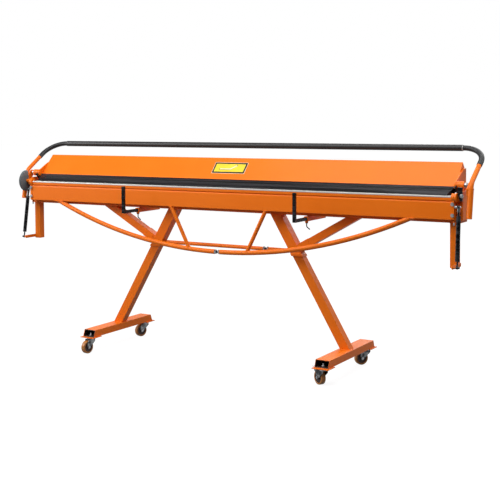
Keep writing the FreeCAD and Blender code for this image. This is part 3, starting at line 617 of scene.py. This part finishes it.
# Label plate: a thin plate on the sloped cover with a satin lemon yellow field, a nearly black
# border and a cream edge. A bent line is the general sign for folding sheet.
lacquer = surface("yellow lacquer", ("E6C428", "EED83A"), {"scale": 14.0, "detail": 2.0}, 0.35)
border = surface("black printed border", ("0E0C0A", "1A1713"), {"scale": 60.0}, 0.4)
cream = surface("cream print", ("EBD9B4", "F4E6C6"), {"scale": 60.0}, 0.4)
upslope = Vector((0, 110, 118)).normalized()
outward = Vector((0, -118, 110)).normalized()
label_middle = Vector((6, 3, 1027)) + upslope * 84


def printed(name, outline, low, high, material):
    """A thin printed layer on the label, its outline in millimetres across and up the slope."""
    work = bmesh.new()
    prism(work, *[[work.verts.new((label_middle + Vector((u, 0, 0)) + upslope * v
                                   + outward * h) / 1000) for u, v in outline]
                  for h in (low, high)])
    return finish_piece(mesh_object(name, mesh_of(name, work)), material, "clamp_beam")


def round_corners(half_width, half_height, radius):
    """The outline of a plate with rounded corners."""
    points = []
    for corner in range(4):
        sx, sy = ((1, 1), (-1, 1), (-1, -1), (1, -1))[corner]
        for step in range(7):
            a = math.pi / 2 * (corner + step / 6)
            points.append((sx * (half_width - radius) + radius * math.cos(a),
                           sy * (half_height - radius) + radius * math.sin(a)))
    return points


plate = printed("label_plate_finished", round_corners(109, 41, 3), 0.05, 0.6, cream)
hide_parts("label_plate")
printed("label_border", round_corners(107, 39, 3), 0.6, 0.75, border)
printed("label_field", round_corners(97, 29, 2), 0.75, 0.9, lacquer)
sheet_sign = [(-62, -12), (10, -12), (44, 14), (44, 20), (38, 20), (7, -5), (-62, -5)]
printed("label_sign_edge", [(u * 1.06, v * 1.16) for u, v in sheet_sign], 0.9, 0.95, border)
printed("label_sign", sheet_sign, 0.95, 1.0, cream)

# Lever: one 25 mm tube bent to a wide U, welded to a flat arm at each end. The arms turn on
# zinc plated bolts in the brackets' bosses.
softened("lever_tube", 0.0006, powder)
softened("lever_bolts", 0.0010, zinc)
for side in ("left", "right"):
    softened("lever_arm_" + side, 0.0012, powder)
arm_x = 1450
arm_welds = [ellipse((s * arm_x, -37.3, 1020.2), (13.9, 0, 0), (0, 13.7, -2.6), 48)
             for s in (-1, 1)]
weld("welds_arms", arm_welds, "clamp_lever", 0.0019)

# Sleeve and grips: closed cell foam slid over the middle, matt black with fine pores, drawn
# coarse enough to show, and ribbed rubber over the two bends, a little greyer and smoother.
foam = surface("closed cell foam", ("060607", "0C0C0E"), {"scale": 25.0, "detail": 3.0}, 0.46,
               bump=(0.25, 0.0004), relief={"scale": 700.0, "kind": "Voronoi"},
               Specular_IOR_Level=0.6)
softened("lever_sleeve", 0.0035, foam, 4)
rubber = surface("moulded black rubber", ("0C0D0F", "141518"), {"scale": 320.0, "detail": 2.0},
                 0.38, bump=(0.18, 0.0003))
grip_tree, given = growing("ribbed grip", ("Radius", "Pitch"))
curve = add(grip_tree, "GeometryNodeMeshToCurve", Mesh=given["Path"])
even = add(grip_tree, "GeometryNodeResampleCurve", {"mode": "LENGTH"}, Curve=curve.outputs[0],
           Length=0.0009)
along = add(grip_tree, "GeometryNodeSplineParameter")
wave = sine_along(grip_tree, along, given["Pitch"])
rib = add(grip_tree, "ShaderNodeMapRange", Value=wave, From_Min=-0.2, From_Max=0.6,
          To_Min=0.965, To_Max=1.0)
lead = add(grip_tree, "ShaderNodeMapRange", Value=along.outputs["Length"], From_Min=0.0,
           From_Max=0.0025, To_Min=0.93, To_Max=1.0)
size = add(grip_tree, "ShaderNodeMath", {"operation": "MULTIPLY"}, _0=rib.outputs[0],
           _1=lead.outputs[0])
profile = add(grip_tree, "GeometryNodeCurvePrimitiveCircle", Resolution=28,
              Radius=given["Radius"])
ribbed = add(grip_tree, "GeometryNodeCurveToMesh", Curve=even.outputs[0],
             Profile_Curve=profile.outputs[0], Scale=size.outputs[0], Fill_Caps=True)
smooth = add(grip_tree, "GeometryNodeSetShadeSmooth", Geometry=ribbed.outputs[0])
close_tree(grip_tree, given, smooth.outputs[0])
rise = Vector((0, 250, 165)).normalized()
bend_radius, bend_x, bar_y, bar_z = 120, 1330, 218, 1213
grip_start, grip_end = 146, 1323.4
for s, side in ((-1, "left"), (1, "right")):
    bend = Vector((s * bend_x, bar_y, bar_z)) - rise * bend_radius
    line = [Vector((s * arm_x, -32, 1048)) + rise * grip_start]
    line += [bend + (Vector((s * math.cos(a), 0, 0)) + rise * math.sin(a)) * bend_radius
             for a in (math.pi / 2 * i / 24 for i in range(25))]
    line.append(Vector((s * grip_end, bar_y, bar_z)))
    grip = grown("grip_" + side, grip_tree, lines_mesh("grip_line", [line], False),
                 {"Radius": 0.0145, "Pitch": 0.007}, rubber, "clamp_lever")
    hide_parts("lever_grip_" + side)

# Retaining ring: a pale plastic ring that closes the right end of the foam sleeve, pale as a
# painted highlight where the sleeve's end catches the light. Its thin grey white edge stands out
# between the two blacks.
pale_print_and_painted_highlight = surface("pale print and painted highlight", ("C9C9C6", "E2E2DE"), {"scale": 90.0}, 0.35)


def lathed(name, profile, start, axis, material, body, count=64):
    """Turns a closed profile of (along, radius) in millimetres about an axis."""
    axis = Vector(axis).normalized()
    side = axis.orthogonal().normalized()
    across = axis.cross(side)
    work = bmesh.new()
    rings = []
    for i in range(count):
        a = math.tau * i / count
        radial = side * math.cos(a) + across * math.sin(a)
        rings.append([work.verts.new((Vector(start) + axis * u + radial * r) / 1000)
                      for u, r in profile])
    for i in range(count):
        here, there = rings[i], rings[(i + 1) % count]
        for k in range(len(profile)):
            m = (k + 1) % len(profile)
            if profile[k][1] > 0 or profile[m][1] > 0:
                work.faces.new((here[k], here[m], there[m], there[k]))
    bmesh.ops.remove_doubles(work, verts=work.verts, dist=1e-6)
    bmesh.ops.recalc_face_normals(work, faces=work.faces)
    mesh = mesh_of(name, work)
    for face in mesh.polygons:
        face.use_smooth = True
    mesh.set_sharp_from_angle(angle=math.radians(35))
    return finish_piece(mesh_object(name, mesh), material, body)


# The ring's pale colour is a painted highlight on the sleeve's right end; the same pale colour
# prints the dial's marks.
highlight_ring_x = 1323.2
lathed("sleeve_end_highlight_ring", [(0, 12.6), (0, 15.8), (0.6, 16.4), (2.0, 16.4), (2.6, 15.8), (2.6, 12.6)],
       (highlight_ring_x, bar_y, bar_z), (1, 0, 0), pale_print_and_painted_highlight, "clamp_lever")

# Angle dial: a domed disc on the left hinge shaft in moulded plastic, a flat blue grey with a
# faint grain. Its outer face has pale marks each 5 degrees and figures each 30.
moulding = surface("moulded grey plastic", ("555D61", "687074"), {"scale": 400.0, "detail": 2.0},
                   0.45, bump=(0.15, 0.0003))
dial_at = Vector((-1428, -70, 985))
dial = lathed("dial", [(0.6, 0), (0.6, 44), (0, 46), (0, 64.8), (1.2, 66), (2.6, 66), (5.5, 63.5),
                       (8.5, 54), (10.6, 40), (11.7, 24), (12, 10), (12, 0)],
              dial_at, (1, 0, 0), moulding, "frame", 96)
notch_at, notch_size = (-1.422, 0.043, 1.077), (0.04, 0.2, 0.2)
notch = bmesh.new()
bmesh.ops.create_cube(notch, size=1.0)
bmesh.ops.transform(notch, matrix=Matrix.Translation(notch_at) @
                    Matrix.Diagonal((*notch_size, 1)), verts=notch.verts)
cutter = mesh_object("notch", mesh_of("notch", notch))
cut = dial.modifiers.new("notch", "BOOLEAN")
cut.object = cutter
cut.solver = "EXACT"
baked(dial)
bpy.data.objects.remove(cutter)
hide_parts("angle_dial")


def dial_way(degrees):
    """The way from the dial's middle to an angle on its scale."""
    a = math.radians(degrees)
    return Vector((0, -math.sin(a), math.cos(a)))


mark_tree, given = growing("scale mark", ("Width",))
way = add(mark_tree, "GeometryNodeInputNamedAttribute", {"data_type": "FLOAT_VECTOR"},
          Name="way")
reach = add(mark_tree, "GeometryNodeInputNamedAttribute", {"data_type": "FLOAT"}, Name="reach")
aim = add(mark_tree, "FunctionNodeAlignRotationToVector", {"axis": "X"},
          Vector=way.outputs["Attribute"])
size = add(mark_tree, "ShaderNodeCombineXYZ", X=reach.outputs["Attribute"], Y=given["Width"],
           Z=given["Width"])
block = add(mark_tree, "GeometryNodeMeshCube", Size=(1, 1, 1))
marks = add(mark_tree, "GeometryNodeInstanceOnPoints", Points=given["Path"],
            Instance=block.outputs[0], Rotation=aim.outputs[0], Scale=size.outputs[0])
close_tree(mark_tree, given, marks.outputs[0])
mark_rim, long_mark, short_mark = 0.063, 0.010, 0.005
mark_ways = [dial_way(degrees) for degrees in range(0, 136, 5)]
mark_reach = [short_mark if degrees % 15 else long_mark for degrees in range(0, 136, 5)]
mark_mesh = bpy.data.meshes.new("dial_marks")
mark_mesh.from_pydata([dial_at / 1000 + way * (mark_rim - reach / 2)
                       for way, reach in zip(mark_ways, mark_reach)], [], [])
mark_mesh.attributes.new("way", "FLOAT_VECTOR", "POINT")
mark_mesh.attributes.new("reach", "FLOAT", "POINT")
for i, (way, reach) in enumerate(zip(mark_ways, mark_reach)):
    mark_mesh.attributes["way"].data[i].vector = way
    mark_mesh.attributes["reach"].data[i].value = reach
grown("dial_marks", mark_tree, mark_mesh, {"Width": 0.0009}, pale_print_and_painted_highlight, "frame")
figure_radius = 47
facing = Matrix(((0, 0, -1, 0), (-1, 0, 0, 0), (0, 1, 0, 0), (0, 0, 0, 1)))
work = bmesh.new()
for degrees in (0, 30, 60, 90, 120):
    figure = bpy.data.curves.new("figure", "FONT")
    figure.body = str(degrees)
    figure.size = 0.009
    figure.extrude = 0.0003
    figure.align_x = "CENTER"
    figure.align_y = "CENTER"
    holder = bpy.data.objects.new("figure", figure)
    bpy.context.scene.collection.objects.link(holder)
    shape = bpy.data.meshes.new_from_object(
        holder.evaluated_get(bpy.context.evaluated_depsgraph_get()))
    spot = (dial_at + dial_way(degrees) * figure_radius) / 1000
    shape.transform(Matrix.Translation(spot) @ facing)
    work.from_mesh(shape)
    bpy.data.objects.remove(holder)
finish_piece(mesh_object("dial_figures", mesh_of("dial_figures", work)), pale_print_and_painted_highlight, "frame")

# Gas springs: a black cylinder under a zinc fork on the beam's stud, its zinc darkened as painted
# shade, and a dark rod that slides out of its crimped lower end to the post.
fork_length, crimp_at = 0.0438, 258
for s, side in ((-1, "left"), (1, "right")):
    spring_down = Vector((s * 6, -41, -296)).normalized()
    cylinder = softened("spring_cylinder_" + side, 0.0010, enamel_with_painted_sheen)
    cylinder.data.materials.append(zinc_with_painted_shade)
    top = Vector((s * 1.402, -0.075, 0.931))
    # The top fork's faces get the zinc darkened to grey as painted shade.
    for face in cylinder.data.polygons:
        if (face.center - top).dot(spring_down) < fork_length:
            face.material_index = 1
    softened("spring_rod_" + side, 0.0006, rod_skin)
    lathed("spring_crimp_" + side, [(0, 10.9), (0, 11.3), (1.2, 11.6), (4.8, 11.6), (6, 11.3),
                                    (6, 10.9)],
           top * 1000 + spring_down * crimp_at, spring_down, enamel_with_painted_sheen, "spring_cylinder_" + side,
           40)

# Sheet supports: square bar bent to an L in a socket under the beam, held by a cranked screw.
# All but the socket is black enamel.
for side in ("left", "right"):
    softened("support_socket_" + side, 0.0010, powder)
    softened("sheet_support_" + side, 0.0012, enamel_with_painted_sheen)
    softened("lock_lever_" + side, 0.0006, enamel_with_painted_sheen)
